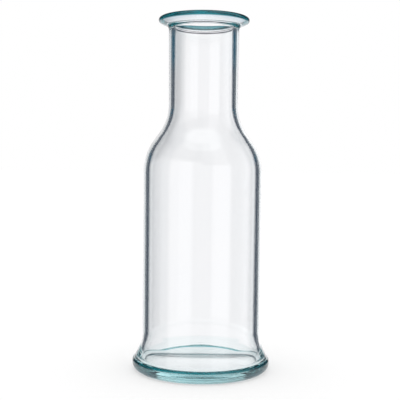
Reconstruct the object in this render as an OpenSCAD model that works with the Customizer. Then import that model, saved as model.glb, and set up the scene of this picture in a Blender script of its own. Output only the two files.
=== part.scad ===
// Water carafe blown in one piece of clear glass: a straight body on a flared foot, an S-shaped
// shoulder, a straight neck and a flared lip with a thick, fire-polished edge. The wall is drawn
// as one section and turned about the vertical axis. The origin is the centre of the circle that
// it stands on.

/* [Body] */
// Diameter of the body just under the shoulder
body_d = 94.7; // [86:0.1:106]
// How much narrower the body is where it rises from the skirt
body_taper = 0.4; // [0:0.1:3]
// Thickness of the glass in the body
body_wall = 4.4; // [3:0.1:5]
// Thickness of the glass in the middle of the base
base_wall = 4; // [3:0.5:7]

/* [Shoulder] */
// Height at which the lines of the body and the shoulder cross
shoulder_z = 171.7; // [140:0.1:190]
// Rise from there to where the lines of the shoulder and the neck cross
shoulder_rise = 27.4; // [25:0.2:38]
// Radius that rounds the body into the shoulder
shoulder_round = 45; // [30:1:55]
// Radius that rounds the shoulder into the neck
neck_round = 39.5; // [28:0.5:55]

/* [Neck] */
// Outside diameter at the foot of the neck
neck_d = 54.7; // [50:0.1:60]
// How much further out the outside of the neck stands under the lip, on each side
neck_spread = 0.7; // [0:0.1:1.4]
// Thickness of the glass at the foot of the neck
neck_wall = 3.8; // [2.6:0.1:4.8]

/* [Lip] */
// Height of the top of the lip, which is the height of the carafe
carafe_h = 280; // [260:1:310]
// How far the lip flares out beyond the neck, on each side
lip_reach = 8.8; // [6:0.1:12]
// Radius of the rounded edge of the lip
lip_edge_r = 1.9; // [1.2:0.1:2.4]
// Slope of the underside of the lip, from the level
lip_slope = 24.5; // [12:0.5:32]
// Radius that rounds the neck into the underside of the lip
lip_root_round = 4.8; // [1:0.1:6]
// Depth of the mouth's edge below the top of the lip
mouth_depth = 7.5; // [6:0.1:10]
// Radius that eases the mouth's edge
mouth_round = 1.5; // [0.5:0.1:3]

/* [Foot] */
// How far the skirt spreads beyond the body, on each side
skirt_spread = 5.9; // [4:0.1:9]
// Slope of the skirt, from the upright
skirt_slope = 26.6; // [20:0.2:34]
// Radius that rounds the skirt into the body
skirt_round = 31; // [14:1:36]
// How far the foot ring stands out beyond the skirt
foot_proud = 1.8; // [0.8:0.1:3]
// Height of the foot ring
foot_h = 10.9; // [9.6:0.1:13]
// Radius of the foot ring's lower edge
foot_low_r = 5.8; // [4:0.1:6.6]
// Radius of the foot ring's upper edge
foot_top_r = 3.3; // [2.4:0.1:4.2]

/* [Base] */
// Width of the ring that the carafe stands on
stand_w = 2.5; // [1.5:0.5:5]
// Height of the domed hollow under the base
punt_h = 2; // [1:0.5:4]
// Radius of the cavity's lower corner
heel_round = 4; // [2:0.5:8]
// How far the cavity widens above its floor
heel_flare = 6.5; // [3:0.1:7.4]
// Height above the floor at which the cavity has narrowed to the body's bore
heel_flare_h = 20; // [15:1:28]
// Radius that rounds the cavity's flare into the body's bore
heel_flare_round = 28; // [10:1:40]

/* [Glass] */
// Colour of the clear glass
glass_color = [0.78, 0.9, 0.92, 0.5];

/* [Hidden] */
$fn = 128;

// Turn of one straight step along a rounded stretch, and the fewest steps that it has
step_angle = 4;
least_steps = 6;

body_top_r = body_d / 2;
body_low_r = body_top_r - body_taper / 2;
neck_r = neck_d / 2;
neck_top_r = neck_r + neck_spread;
neck_z = shoulder_z + shoulder_rise;
bore_r = neck_r - neck_wall;
skirt_r = body_low_r + skirt_spread;
foot_r = skirt_r + foot_proud;
stand_r = foot_r - foot_low_r;
hollow_r = stand_r - stand_w;

// Slope of the shoulder, from the upright
shoulder_slope = atan((body_top_r - neck_r) / shoulder_rise);
// The inside of the shoulder lies lower than the outside, so that the wall keeps its thickness
inside_drop_share = tan(shoulder_slope / 2);

// Centres of the round edges that end the glass above and below
lip_edge = [neck_r + lip_reach - lip_edge_r, carafe_h - lip_edge_r];
foot_low = [stand_r, foot_low_r];
foot_top = [foot_r - foot_top_r, foot_h - foot_top_r];

// The skirt runs into the rounded top of the foot ring in a crease
crease_angle = acos((skirt_r - foot_top.x) / foot_top_r);
crease = foot_top + foot_top_r * [cos(crease_angle), sin(crease_angle)];
skirt_z = crease.y + (crease.x - body_low_r) / tan(skirt_slope);

// The underside of the lip rises from the neck at its root and touches the round edge of the lip
lip_touch = lip_edge + lip_edge_r * [sin(lip_slope), -cos(lip_slope)];
lip_root = [neck_top_r, lip_touch.y - (lip_touch.x - neck_top_r) * tan(lip_slope)];

// The face inside the lip runs from the mouth's edge up to the round edge, which it touches
mouth = [bore_r, carafe_h - mouth_depth];
mouth_reach = lip_edge - mouth;
lip_face_slope = atan2(mouth_reach.y, mouth_reach.x) + asin(lip_edge_r / norm(mouth_reach));

// The hollow under the base is a shallow dome that ends at the standing ring
punt_r = (hollow_r ^ 2 + punt_h ^ 2) / (2 * punt_h);
punt_centre = [0, punt_h - punt_r];
punt_edge_angle = atan2(punt_r - punt_h, hollow_r);

floor_z = punt_h + base_wall;
cavity_low_r = body_low_r - body_wall;
cavity_top_r = body_top_r - body_wall;

// Points along an arc about a centre, from one angle to another, both ends included
function arc(centre, r, from, to) =
    let (steps = max(least_steps, ceil(abs(to - from) / step_angle)))
    [for (i = [0 : steps])
        let (a = from + (to - from) * i / steps)
        centre + r * [cos(a), sin(a)]];

// The arc of radius r that rounds the corner b of the line a, b, c
function fillet(a, b, c, r) =
    let (
        back = (a - b) / norm(a - b),
        ahead = (c - b) / norm(c - b),
        half = acos(back * ahead) / 2,
        middle = (back + ahead) / norm(back + ahead),
        centre = b + middle * r / sin(half),
        start = b + back * r / tan(half) - centre,
        end = b + ahead * r / tan(half) - centre,
        from = atan2(start.y, start.x),
        turn = atan2(end.y, end.x) - from,
        sweep = turn > 180 ? turn - 360 : turn < -180 ? turn + 360 : turn
    )
    arc(centre, r, from, from + sweep);

// A line through corners [x, y, radius], with each inner corner rounded by its radius
function rounded(corners) =
    let (last = len(corners) - 1)
    [for (i = [0 : last])
        let (here = [corners[i].x, corners[i].y])
        each (i == 0 || i == last || corners[i].z == 0)
            ? [here]
            : fillet(
                [corners[i - 1].x, corners[i - 1].y], here,
                [corners[i + 1].x, corners[i + 1].y], corners[i].z)];

// Underside, from the axis out over the dome to the standing ring
function underside() = arc(punt_centre, punt_r, 90, punt_edge_angle);

// Foot ring, from where it stands up to the crease under the skirt
function foot_ring() = concat(
    arc(foot_low, foot_low_r, -90, 0),
    arc(foot_top, foot_top_r, 0, crease_angle)
);

// Outside of the skirt, the body, the shoulder, the neck and the underside of the lip
function outside() = rounded([
    [crease.x, crease.y, 0],
    [body_low_r, skirt_z, skirt_round],
    [body_top_r, shoulder_z, shoulder_round],
    [neck_r, neck_z, neck_round],
    [lip_root.x, lip_root.y, lip_root_round],
    [lip_touch.x, lip_touch.y, 0]
]);

// Round edge of the lip, from its underside to where the face inside the lip begins
function lip() = arc(lip_edge, lip_edge_r, lip_slope - 90, lip_face_slope + 90);

// Inside, from the face of the lip down through the neck's bore to the middle of the floor
function inside() = rounded([
    concat(lip_edge + lip_edge_r * [-sin(lip_face_slope), cos(lip_face_slope)], [0]),
    concat(mouth, [mouth_round]),
    [bore_r, neck_z - neck_wall * inside_drop_share, neck_round + neck_wall],
    [cavity_top_r, shoulder_z - body_wall * inside_drop_share, shoulder_round - body_wall],
    [cavity_low_r, floor_z + heel_flare_h, heel_flare_round],
    [cavity_low_r + heel_flare, floor_z, heel_round],
    [0, floor_z, 0]
]);

module glass_vessel() {
    color(glass_color)
        rotate_extrude()
            polygon(concat(underside(), foot_ring(), outside(), lip(), inside()));
}

glass_vessel();
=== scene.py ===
"""The water carafe in the photo: one turned wall of clear glass, in a light tent."""

from math import acos, asin, atan2, cos, pi, radians, sin, tan

import bpy
from mathutils import Matrix, Vector


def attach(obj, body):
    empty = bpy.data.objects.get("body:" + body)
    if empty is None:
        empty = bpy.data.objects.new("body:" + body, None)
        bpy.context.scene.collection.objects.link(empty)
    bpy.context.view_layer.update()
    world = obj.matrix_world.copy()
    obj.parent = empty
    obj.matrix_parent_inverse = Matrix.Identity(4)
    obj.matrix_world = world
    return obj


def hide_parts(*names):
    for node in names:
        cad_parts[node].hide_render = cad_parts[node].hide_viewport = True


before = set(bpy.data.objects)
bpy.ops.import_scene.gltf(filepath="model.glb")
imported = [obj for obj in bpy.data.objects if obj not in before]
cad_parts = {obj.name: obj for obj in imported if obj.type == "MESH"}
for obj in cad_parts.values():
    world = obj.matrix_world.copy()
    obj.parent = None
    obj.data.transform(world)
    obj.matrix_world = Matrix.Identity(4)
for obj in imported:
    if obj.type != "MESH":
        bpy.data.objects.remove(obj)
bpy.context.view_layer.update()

MM = 0.001


# ---------------------------------------------------------------- the wall's section
# Its lengths are in metres and are the sizes that the solid is built from.

BODY_TOP_R = 47.35 * MM
BODY_LOW_R = 47.15 * MM
BODY_WALL = 4.4 * MM
BASE_WALL = 4 * MM
SHOULDER_Z = 171.7 * MM
NECK_Z = 199.1 * MM
SHOULDER_ROUND = 45 * MM
NECK_ROUND = 39.5 * MM
NECK_R = 27.35 * MM
NECK_TOP_R = 28.05 * MM
NECK_WALL = 3.8 * MM
CARAFE_H = 280 * MM
LIP_REACH = 8.8 * MM
LIP_EDGE_R = 1.9 * MM
LIP_SLOPE = radians(24.5)
LIP_ROOT_ROUND = 4.8 * MM
MOUTH_DEPTH = 7.5 * MM
MOUTH_ROUND = 1.5 * MM
SKIRT_SPREAD = 5.9 * MM
SKIRT_SLOPE = radians(26.6)
SKIRT_ROUND = 31 * MM
FOOT_PROUD = 1.8 * MM
FOOT_H = 10.9 * MM
FOOT_LOW_R = 5.8 * MM
FOOT_TOP_R = 3.3 * MM
STAND_W = 2.5 * MM
PUNT_H = 2 * MM
HEEL_ROUND = 4 * MM
HEEL_FLARE = 6.5 * MM
HEEL_FLARE_H = 20 * MM
HEEL_FLARE_ROUND = 28 * MM

# How finely bends and straight walls are stepped, and the steps of a full turn on the lathe
ARC_STEP = radians(4)
LEAST_STEPS = 12
WALL_STEP = 8 * MM
GUARD_STEP = 0.5 * MM
SAME_PLACE = 0.02 * MM
TURNS = 224
WELD = 0.005 * MM


def bend(centre, radius, start, end):
    """Points of an arc from one angle to another, each with its radius and its height."""
    steps = max(LEAST_STEPS, round(abs(end - start) / ARC_STEP))
    angles = [start + (end - start) * i / steps for i in range(steps + 1)]
    return [centre + radius * Vector((cos(a), sin(a))) for a in angles]


def soften(before, corner, after, radius):
    """A corner of the section, rounded where it has a radius."""
    if radius == 0:
        return [corner]
    to_a, to_b = (before - corner).normalized(), (after - corner).normalized()
    half = to_a.angle(to_b) / 2
    middle = (to_a + to_b).normalized()
    centre = corner + middle * (radius / sin(half))
    from_a = corner + to_a * (radius / tan(half)) - centre
    from_b = corner + to_b * (radius / tan(half)) - centre
    start = atan2(from_a.y, from_a.x)
    turn = (atan2(from_b.y, from_b.x) - start + pi) % (2 * pi) - pi
    return bend(centre, radius, start, start + turn)


def softened(corners):
    """A run of straight walls with rounded corners; each corner is x, z and its radius."""
    places = [Vector(c[:2]) for c in corners]
    run = [places[0]]
    for i in range(1, len(corners) - 1):
        run += soften(places[i - 1], places[i], places[i + 1], corners[i][2])
    return run + [places[-1]]


def underside():
    """The shallow dome under the base, from the middle to the standing ring."""
    hollow_r = BODY_LOW_R + SKIRT_SPREAD + FOOT_PROUD - FOOT_LOW_R - STAND_W
    dome_r = (hollow_r ** 2 + PUNT_H ** 2) / (2 * PUNT_H)
    return bend(Vector((0, PUNT_H - dome_r)), dome_r, pi / 2, atan2(dome_r - PUNT_H, hollow_r))


def foot_and_outside():
    """From the standing ring, over the foot and its crease, up to the underside of the lip."""
    skirt_r = BODY_LOW_R + SKIRT_SPREAD
    foot_r = skirt_r + FOOT_PROUD
    low = Vector((foot_r - FOOT_LOW_R, FOOT_LOW_R))
    top = Vector((foot_r - FOOT_TOP_R, FOOT_H - FOOT_TOP_R))
    crease_angle = acos((skirt_r - top.x) / FOOT_TOP_R)
    crease = top + FOOT_TOP_R * Vector((cos(crease_angle), sin(crease_angle)))
    skirt_z = crease.y + (crease.x - BODY_LOW_R) / tan(SKIRT_SLOPE)
    run = bend(low, FOOT_LOW_R, -pi / 2, 0) + bend(top, FOOT_TOP_R, 0, crease_angle)
    return run + softened([
        (crease.x, crease.y, 0),
        (BODY_LOW_R, skirt_z, SKIRT_ROUND),
        (BODY_TOP_R, SHOULDER_Z, SHOULDER_ROUND),
        (NECK_R, NECK_Z, NECK_ROUND),
        (*lip_root(), LIP_ROOT_ROUND),
        (*lip_touch(), 0),
    ])


def lip_edge():
    """The centre of the lip's round edge."""
    return Vector((NECK_R + LIP_REACH - LIP_EDGE_R, CARAFE_H - LIP_EDGE_R))


def lip_touch():
    """Where the lip's sloping underside meets its round edge."""
    return lip_edge() + LIP_EDGE_R * Vector((sin(LIP_SLOPE), -cos(LIP_SLOPE)))


def lip_root():
    """Where the lip's underside leaves the neck."""
    out = lip_touch()
    return Vector((NECK_TOP_R, out.y - (out.x - NECK_TOP_R) * tan(LIP_SLOPE)))


def lip_face_slope():
    """How steeply the face inside the lip rises from the mouth to the round edge."""
    reach = lip_edge() - mouth()
    return atan2(reach.y, reach.x) + asin(LIP_EDGE_R / reach.length)


def mouth():
    """Where the face inside the lip meets the bore of the neck."""
    return Vector((NECK_R - NECK_WALL, CARAFE_H - MOUTH_DEPTH))


def lip():
    """The lip's round edge, from its underside to its inner face."""
    return bend(lip_edge(), LIP_EDGE_R, LIP_SLOPE - pi / 2, lip_face_slope() + pi / 2)


def inside():
    """From the lip's face down the bore and the cavity to the middle of its floor."""
    slope = atan2(BODY_TOP_R - NECK_R, NECK_Z - SHOULDER_Z)
    drop = tan(slope / 2)
    floor_z = PUNT_H + BASE_WALL
    low_r, top_r = BODY_LOW_R - BODY_WALL, BODY_TOP_R - BODY_WALL
    face = lip_edge() + LIP_EDGE_R * Vector((-sin(lip_face_slope()), cos(lip_face_slope())))
    return softened([
        (face.x, face.y, 0),
        (mouth().x, mouth().y, MOUTH_ROUND),
        (mouth().x, NECK_Z - NECK_WALL * drop, NECK_ROUND + NECK_WALL),
        (top_r, SHOULDER_Z - BODY_WALL * drop, SHOULDER_ROUND - BODY_WALL),
        (low_r, floor_z + HEEL_FLARE_H, HEEL_FLARE_ROUND),
        (low_r + HEEL_FLARE, floor_z, HEEL_ROUND),
        (0, floor_z, 0),
    ])


def section():
    """The whole section, with extra points on straight walls so that the shading stays true."""
    corners = underside() + foot_and_outside() + lip() + inside()
    run = [corners[0]]
    for place in corners[1:]:
        gap = (place - run[-1]).length
        if gap < SAME_PLACE:
            continue
        start = run[-1]
        if gap > 3 * GUARD_STEP:
            inner = gap - 2 * GUARD_STEP
            steps = max(1, round(inner / WALL_STEP))
            ways = [GUARD_STEP + inner * i / steps for i in range(steps + 1)]
            run += [start.lerp(place, way / gap) for way in ways]
        run.append(place)
    return run


# ---------------------------------------------------------------- hand tools

def leave_all():
    """Deselects everything, so that an operator acts on the new thing alone."""
    for thing in bpy.context.selected_objects:
        thing.select_set(False)


def turn_glass(name, run):
    """Draws the section as a thin line, point by point, and turns it on the lathe."""
    leave_all()
    first = Vector((run[0].x, 0, run[0].y))
    bpy.ops.mesh.primitive_plane_add(size=MM, location=first)
    piece = bpy.context.object
    piece.name = name
    bpy.ops.object.mode_set(mode="EDIT")
    bpy.ops.mesh.select_all(action="SELECT")
    bpy.ops.mesh.merge(type="CENTER")
    for here, there in zip(run, run[1:]):
        way = (there.x - here.x, 0, there.y - here.y)
        bpy.ops.mesh.extrude_region_move(TRANSFORM_OT_translate={"value": way})
    bpy.ops.mesh.select_all(action="SELECT")
    bpy.ops.mesh.spin(steps=TURNS, angle=2 * pi, center=(0, 0, 0), axis=(0, 0, 1))
    bpy.ops.mesh.select_all(action="SELECT")
    bpy.ops.mesh.remove_doubles(threshold=WELD)
    bpy.ops.mesh.normals_make_consistent(inside=False)
    bpy.ops.object.mode_set(mode="OBJECT")
    bpy.ops.object.transform_apply(location=True, rotation=True, scale=True)
    bpy.ops.object.shade_smooth()
    return piece


class Wire:
    """One socket of a node tree. Sums written on it become Math nodes."""

    # The sockets of a Mix node that mixes colours
    FACTOR, FIRST, SECOND, MIXED = 0, 6, 7, 2

    def __init__(self, tree, socket=None):
        self.tree, self.socket = tree, socket

    def node(self, kind, settings=None, sockets=None, output=0):
        made = self.tree.nodes.new(kind)
        for name, value in (settings or {}).items():
            setattr(made, name, value)
        for name, value in (sockets or {}).items():
            if isinstance(value, Wire):
                self.tree.links.new(value.socket, made.inputs[name])
            else:
                made.inputs[name].default_value = value
        return Wire(self.tree, made.outputs[output] if made.outputs else None)

    def maths(self, operation, *terms):
        return self.node("ShaderNodeMath", {"operation": operation}, dict(enumerate(terms)))

    def __add__(self, other):
        return self.maths("ADD", self, other)

    __radd__ = __add__

    def __sub__(self, other):
        return self.maths("SUBTRACT", self, other)

    def __rsub__(self, other):
        return self.maths("SUBTRACT", other, self)

    def __mul__(self, other):
        return self.maths("MULTIPLY", self, other)

    __rmul__ = __mul__

    def most(self, other):
        return self.maths("MAXIMUM", self, other)

    def ease(self, start, end):
        """0 up to start, 1 from end on, and smooth between them."""
        limits = {"Value": self, "From Min": start, "From Max": end}
        return self.node("ShaderNodeMapRange", {"interpolation_type": "SMOOTHSTEP"}, limits)

    def mix(self, first, second):
        """The colour first where this wire is 0, and second where it is 1."""
        colours = {self.FACTOR: self, self.FIRST: first, self.SECOND: second}
        return self.node("ShaderNodeMix", {"data_type": "RGBA"}, colours, output=self.MIXED)


def new_finish(name):
    """An empty material and a bench on which its nodes are made."""
    finish = bpy.data.materials.new(name)
    finish.use_nodes = True
    finish.node_tree.nodes.clear()
    return finish, Wire(finish.node_tree)


def colour_of(red, green, blue):
    return (red, green, blue, 1)


def place_on(bench):
    """The place on a piece in its Object coordinates."""
    return bench.node("ShaderNodeTexCoord", output="Object")


def noise(place, scale, detail=2):
    sockets = {"Vector": place, "Scale": scale, "Detail": detail}
    return place.node("ShaderNodeTexNoise", sockets=sockets)


def between(wire, low, high, soft):
    """1 from low to high, and 0 beyond a soft edge on either side."""
    return wire.ease(low - soft, low) * (1 - wire.ease(high, high + soft))


# ---------------------------------------------------------------- clear glass

GLASS_IOR = 1.5
# What a metre of the glass takes out of red, green and blue
GLASS_TAKES = (7, 2.4, 2.1)
# The depth's density: just above the most that it takes, so that no colour comes to nothing
DEPTH_DENSITY = max(GLASS_TAKES) * 1.02

CLOUD_SCALE = 28
ROUGHEST = 0.01
RIPPLE_SCALE = 40
RIPPLE_STRENGTH = 0.03
RIPPLE_DEPTH = 0.2 * MM

CLEAR = colour_of(1, 1, 1)
FAINT = colour_of(0.99, 0.995, 1)
# The glass's own teal depth in the lip's round edge, darkened further by painted shade
EDGE_TEAL_AND_SHADE = colour_of(0.001, 0.1, 0.13)
# A painted blue reflection under the lip
LIP_PAINTED_BLUE = colour_of(0.8, 0.9, 0.955)
# A painted dark shade line where the lip leaves the neck
ROOT_PAINTED_SHADE = colour_of(0.03, 0.03, 0.045)
# A painted teal shade line in the foot's crease
CREASE_TEAL_SHADE = colour_of(0.004, 0.19, 0.23)
# Painted teal shade lines round the foot under its crease
LINE_TEAL_SHADE = colour_of(0.46, 0.61, 0.63)

# Where the painted shade, the painted reflection and the lip edge's teal lie: heights, and reaches
# out from the carafe's axis.
# A pair is where a soft edge starts and where it ends.
EDGE_Z = (276 * MM, 276.6 * MM)
EDGE_OUT = (33 * MM, 33.4 * MM)
UNDER_LIP_Z = (272.8 * MM, 273.8 * MM)
UNDER_LIP_OUT = (29.5 * MM, 30.5 * MM)
ROOT_Z = 272.3 * MM
ROOT_HALF = 0.2 * MM
ROOT_IN = 28.2 * MM
ROOT_OUT = 29.8 * MM
ROOT_SOFT = 0.3 * MM
CREASE_Z = 9.25 * MM
CREASE_HALF = 0.65 * MM
CREASE_SOFT = 0.4 * MM
FOOT_OUT = (51.2 * MM, 51.8 * MM)
LINE_STEP = 1.9 * MM
LINE_SHARP = (0.1, 0.95)
LINES_TOP = (8 * MM, 8.4 * MM)


def painted_shade_lines(height, out):
    """Painted shade: the fine dark lines that run round the foot under its crease."""
    turned = (height - CREASE_Z) * (2 * pi / LINE_STEP)
    shade_lines = turned.maths("COSINE", turned).ease(*LINE_SHARP)
    return shade_lines * out.ease(*FOOT_OUT) * (1 - height.ease(*LINES_TOP))


def glass_tint_and_shade(bench, place, cloud):
    """Clear glass with its painted zones of shade and reflection and its teal lip edge, each of
    them over the ones before it.
    """
    height = bench.node("ShaderNodeSeparateXYZ", sockets={0: place}, output="Z")
    flat = {0: place, 1: (1, 1, 0)}
    level = bench.node("ShaderNodeVectorMath", {"operation": "MULTIPLY"}, flat)
    out = bench.node("ShaderNodeVectorMath", {"operation": "LENGTH"}, {0: level}, output="Value")
    # A painted shade line in the foot's crease
    crease = between(height, CREASE_Z - CREASE_HALF, CREASE_Z + CREASE_HALF, CREASE_SOFT)
    # A painted shade line round the lip's root
    root = between(height, ROOT_Z - ROOT_HALF, ROOT_Z + ROOT_HALF, ROOT_SOFT)
    zones = [
        (painted_shade_lines(height, out), LINE_TEAL_SHADE),
        (height.ease(*UNDER_LIP_Z) * out.ease(*UNDER_LIP_OUT), LIP_PAINTED_BLUE),
        (crease * out.ease(*FOOT_OUT), CREASE_TEAL_SHADE),
        (root * between(out, ROOT_IN, ROOT_OUT, ROOT_SOFT), ROOT_PAINTED_SHADE),
        (height.ease(*EDGE_Z) * out.ease(*EDGE_OUT), EDGE_TEAL_AND_SHADE),
    ]
    tint_and_shade = cloud.mix(CLEAR, FAINT)
    for zone, colour in zones:
        tint_and_shade = zone.mix(tint_and_shade, colour)
    return tint_and_shade


def clear_glass():
    """Clear glass with a blue-green depth, faint ripples, and painted zones of shade and
    reflection.
    """
    finish, bench = new_finish("clear_soda_glass")
    place = place_on(bench)
    cloud = noise(place, CLOUD_SCALE)
    wave = bench.node("ShaderNodeBump", sockets={
        "Height": noise(place, RIPPLE_SCALE, detail=1),
        "Strength": RIPPLE_STRENGTH,
        "Distance": RIPPLE_DEPTH,
    })
    glass = bench.node("ShaderNodeBsdfPrincipled", sockets={
        "Base Color": glass_tint_and_shade(bench, place, cloud),
        "Roughness": cloud * ROUGHEST,
        "IOR": GLASS_IOR,
        "Transmission Weight": 1,
        "Normal": wave,
    })
    left = colour_of(*[1 - taken / DEPTH_DENSITY for taken in GLASS_TAKES])
    deep = {"Color": left, "Density": DEPTH_DENSITY}
    depth = bench.node("ShaderNodeVolumeAbsorption", sockets=deep)
    bench.node("ShaderNodeOutputMaterial", sockets={"Surface": glass, "Volume": depth})
    return finish


carafe = turn_glass("carafe_glass", section())
carafe.data.materials.append(clear_glass())
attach(carafe, "root")
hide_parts("glass_vessel")


# ---------------------------------------------------------------- camera

CAMERA_AWAY = 640 * MM
CAMERA_UP = 161 * MM
VIEW_DOWN = radians(2.27)
VIEW_ASIDE = radians(0.165)
VIEW_ROLL = radians(0.62)
LENS = 71.96
# How near and how far the camera can see, in metres
NEAREST = 0.01
FURTHEST = 100


def place_camera():
    """Near the carafe, below its lip and above its foot, as the photo was taken."""
    bpy.ops.object.camera_add(location=(0, -CAMERA_AWAY, CAMERA_UP), rotation=(0, 0, 0))
    camera = bpy.context.object
    camera.name = "camera"
    camera.data.lens = LENS
    camera.data.clip_start = NEAREST
    camera.data.clip_end = FURTHEST
    ahead = Vector((-sin(VIEW_ASIDE), cos(VIEW_ASIDE) * cos(VIEW_DOWN), -sin(VIEW_DOWN)))
    turn = ahead.to_track_quat("-Z", "Y").to_matrix() @ Matrix.Rotation(VIEW_ROLL, 3, "Z")
    camera.rotation_euler = turn.to_euler()
    bpy.context.scene.camera = camera
    return camera


camera = place_camera()


# ---------------------------------------------------------------- floor, tent and light

# Light passes many walls of glass before it reaches the camera
WALLS_PASSED = 32
GLOSS_BOUNCES = 24

# The kinds of ray that are blind to what only the glass sees
BESIDES_GLASS = ("camera", "diffuse", "shadow", "volume_scatter")

SWEEP_SIZE = 60
SWEEP_GRAIN = 3
SWEEP_DARK = colour_of(0.97, 0.97, 0.97)
SWEEP_PALE = colour_of(0.98, 0.98, 0.98)
# How much of the sweep's white is its own, and that white in the shadow and in the open
OWN_WHITE = 0.5
SHADOW_WHITE = colour_of(0.92, 0.92, 0.92)
OPEN_WHITE = colour_of(1.12, 1.12, 1.12)
SHADOW_REACH = 20 * MM

PAPER_R = 105 * MM
PAPER_SIDES = 96
PAPER_UNDER = 0.5 * MM
PAPER_GRAIN = 9
PAPER_DARK = colour_of(0.93, 0.93, 0.94)
PAPER_PALE = colour_of(0.97, 0.97, 0.98)

TENT_R = 9
TENT_SEGMENTS = 64
TENT_RINGS = 32
TENT_WHITE = (1.04, 1, 1.01)
CURTAIN = colour_of(0.085, 0.1, 0.125)
NECK_CURTAIN = colour_of(0.03, 0.095, 0.145)
# Where the blue curtain beside the neck starts and ends, and its soft edge, in degrees up
NECK_CURTAIN_RISE = (9.3, 10.6, 1.3)

# The tent's soft edges in degrees, each as its start and end. Those to the side count from
# straight behind the carafe to the right, but the left box's to the left and the camera gap's
# both ways. Those that rise or sink count up from the level.
FIELD_LEFT = (-29, -26)
FIELD_RIGHT = (24.5, 27.5)
FIELD_RISE = (24, 34)
FIELD_SINK = (-24, -16)
FIELD_LIGHT = 0.985
GREY_SIDE = (-14, -3)
GREY_RISE = (2, 5)
GREY_BELOW = 0.03
GREY_ABOVE = 0.2
GLOW_SIDE = (5, 12)
GLOW_LIGHT = 0.12
GLOW_FAR_SIDE = (15, 22)
GLOW_FAR_LIGHT = 0.1
LOW_FIELD_TOP = (-24, -18)
LOW_FIELD_SINK = (-66, -58)
LOW_FIELD_LEFT = (-22, -16)
LOW_FIELD_RIGHT = (0, 6)
LOW_FIELD_LIGHT = 0.9
RIGHT_BOX_SIDE = (66, 80)
RIGHT_BOX_LIGHT = 0.65
RIGHT_FRONT_SIDE = (120, 130)
RIGHT_FRONT_LIGHT = 0.45
RIGHT_BOX_SINK = (-30, -20)
LEFT_BOX_SIDE = (108, 116)
LEFT_BOX_SINK = (-22, -12)
LEFT_BOX_LIGHT = 1.1
LEFT_BOX_RISE = (18, 28)
LEFT_BOX_FADE = 0.5
CAMERA_GAP = (154, 164)
CAMERA_GAP_DARK = 0.4
TOP_BOX_RISE = (58, 66)


def white_sweep():
    """A matt white sweep, which the camera sees lifted to white, with the carafe's soft shadow,
    partly cast and partly painted into that white.
    """
    finish, bench = new_finish("white_sweep")
    paint = noise(place_on(bench), SWEEP_GRAIN).mix(SWEEP_DARK, SWEEP_PALE)
    matt = bench.node("ShaderNodeBsdfDiffuse", sockets={"Color": paint})
    reach = {"Distance": SHADOW_REACH}
    # The white that the camera sees is darker where ambient occlusion finds the carafe near: a
    # painted soft shadow
    open_air = bench.node("ShaderNodeAmbientOcclusion", sockets=reach, output="AO")
    painted_shadow_white = open_air.mix(SHADOW_WHITE, OPEN_WHITE)
    white = bench.node("ShaderNodeEmission", sockets={"Color": painted_shadow_white})
    seen = bench.node("ShaderNodeLightPath", output="Is Camera Ray")
    whole = bench.node("ShaderNodeMixShader", sockets={0: seen * OWN_WHITE, 1: matt, 2: white})
    bench.node("ShaderNodeOutputMaterial", sockets={"Surface": whole})
    return finish


def white_paper():
    """The white paper that the glass sees under itself."""
    finish, bench = new_finish("white_paper")
    paper = noise(place_on(bench), PAPER_GRAIN).mix(PAPER_DARK, PAPER_PALE)
    lamp = bench.node("ShaderNodeEmission", sockets={"Color": paper})
    bench.node("ShaderNodeOutputMaterial", sockets={"Surface": lamp})
    return finish


def past(angle, edge):
    """0 up to the start of a soft edge in degrees, and 1 past its end."""
    start, end = edge
    return angle.ease(radians(start), radians(end))


def field_behind(side, rise):
    """The white field behind the carafe, greyer on its left and brighter on its right."""
    field = past(side, FIELD_LEFT) * (1 - past(side, FIELD_RIGHT))
    field = field * (1 - past(rise, FIELD_RISE)) * past(rise, FIELD_SINK)
    grey = (1 - past(side, GREY_SIDE)) * (GREY_BELOW + past(rise, GREY_RISE) * GREY_ABOVE)
    glow = past(side, GLOW_SIDE) * GLOW_LIGHT + past(side, GLOW_FAR_SIDE) * GLOW_FAR_LIGHT
    return field * (1 - grey) * FIELD_LIGHT * (1 + glow)


def field_below(side, rise):
    """The lower part of the field, left of the middle."""
    field = (1 - past(rise, LOW_FIELD_TOP)) * past(rise, LOW_FIELD_SINK)
    field = field * past(side, LOW_FIELD_LEFT) * (1 - past(side, LOW_FIELD_RIGHT))
    return field * LOW_FIELD_LIGHT


def softboxes(side, rise):
    """The softboxes on the right and on the left, dimmed round the camera."""
    right = past(side, RIGHT_BOX_SIDE) * RIGHT_BOX_LIGHT
    right = right + past(side, RIGHT_FRONT_SIDE) * RIGHT_FRONT_LIGHT
    right = right * past(rise, RIGHT_BOX_SINK)
    left = past(side * -1, LEFT_BOX_SIDE) * past(rise, LEFT_BOX_SINK) * LEFT_BOX_LIGHT
    left = left * (1 - past(rise, LEFT_BOX_RISE) * LEFT_BOX_FADE)
    off = side.maths("ABSOLUTE", side)
    return right.most(left) * (1 - past(off, CAMERA_GAP) * CAMERA_GAP_DARK)


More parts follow.
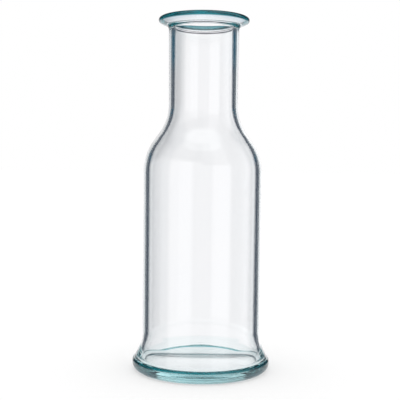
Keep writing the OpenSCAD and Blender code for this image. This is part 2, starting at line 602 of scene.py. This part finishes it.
def tent_light():
    """What the glass sees: a white field behind it, softboxes, and dark curtains between."""
    finish, bench = new_finish("light_tent")
    way = bench.node("ShaderNodeVectorMath", {"operation": "NORMALIZE"}, {0: place_on(bench)})
    split = bench.node("ShaderNodeSeparateXYZ", sockets={0: way})
    x, y, z = (Wire(split.tree, socket) for socket in split.socket.node.outputs)
    side = x.maths("ARCTAN2", x, y)
    rise = z.maths("ARCSINE", z)
    bright = field_behind(side, rise).most(softboxes(side, rise))
    bright = bright.most(past(rise, TOP_BOX_RISE)).most(field_below(side, rise))
    lit = {0: TENT_WHITE, "Scale": bright}
    light = bench.node("ShaderNodeVectorMath", {"operation": "SCALE"}, lit)
    beside_neck = between(rise, *[radians(angle) for angle in NECK_CURTAIN_RISE])
    hung = {0: light, 1: beside_neck.mix(CURTAIN, NECK_CURTAIN)}
    shade = bench.node("ShaderNodeVectorMath", {"operation": "MAXIMUM"}, hung)
    lamp = bench.node("ShaderNodeEmission", sockets={"Color": shade})
    bench.node("ShaderNodeOutputMaterial", sockets={"Surface": lamp})
    return finish


def dress(name, finish, *rays):
    """Names the new thing, gives it its finish, and hides it from some kinds of ray."""
    thing = bpy.context.object
    thing.name = name
    thing.data.materials.append(finish)
    for ray in rays:
        setattr(thing, "visible_" + ray, False)
    return thing


def lay_sweep():
    """The floor that the camera sees, and the glass doesn't."""
    leave_all()
    bpy.ops.mesh.primitive_plane_add(size=SWEEP_SIZE, location=(0, 0, 0))
    floor = dress("white_sweep", white_sweep(), "transmission", "glossy")


def lay_paper():
    """The round of paper that only the glass sees."""
    leave_all()
    bpy.ops.mesh.primitive_circle_add(
        vertices=PAPER_SIDES, radius=PAPER_R, fill_type="NGON", location=(0, 0, -PAPER_UNDER))
    table = dress("white_paper", white_paper(), *BESIDES_GLASS)


def hang_tent():
    """The tent is carried by the camera, so that the glass looks lit alike in every view."""
    leave_all()
    bpy.ops.mesh.primitive_uv_sphere_add(
        segments=TENT_SEGMENTS, ring_count=TENT_RINGS, radius=TENT_R,
        location=(0, 0, CARAFE_H / 2))
    tent = dress("light_tent", tent_light(), *BESIDES_GLASS)
    tent.parent = camera
    tent.matrix_parent_inverse = camera.matrix_world.inverted()


def light_room():
    """A white world, which the camera and matt things see, and the glass doesn't."""
    world = bpy.data.worlds.new("white_room")
    world.use_nodes = True
    world.node_tree.nodes.clear()
    bench = Wire(world.node_tree)
    white = bench.node("ShaderNodeBackground", sockets={"Color": CLEAR, "Strength": 1})
    bench.node("ShaderNodeOutputWorld", sockets={"Surface": white})
    world.cycles_visibility.glossy = False
    world.cycles_visibility.transmission = False
    bpy.context.scene.world = world


bpy.context.view_layer.update()
lay_sweep()
lay_paper()
hang_tent()
light_room()

scene = bpy.context.scene
scene.view_settings.view_transform = "Standard"
scene.cycles.max_bounces = WALLS_PASSED
scene.cycles.glossy_bounces = GLOSS_BOUNCES
scene.cycles.transmission_bounces = WALLS_PASSED
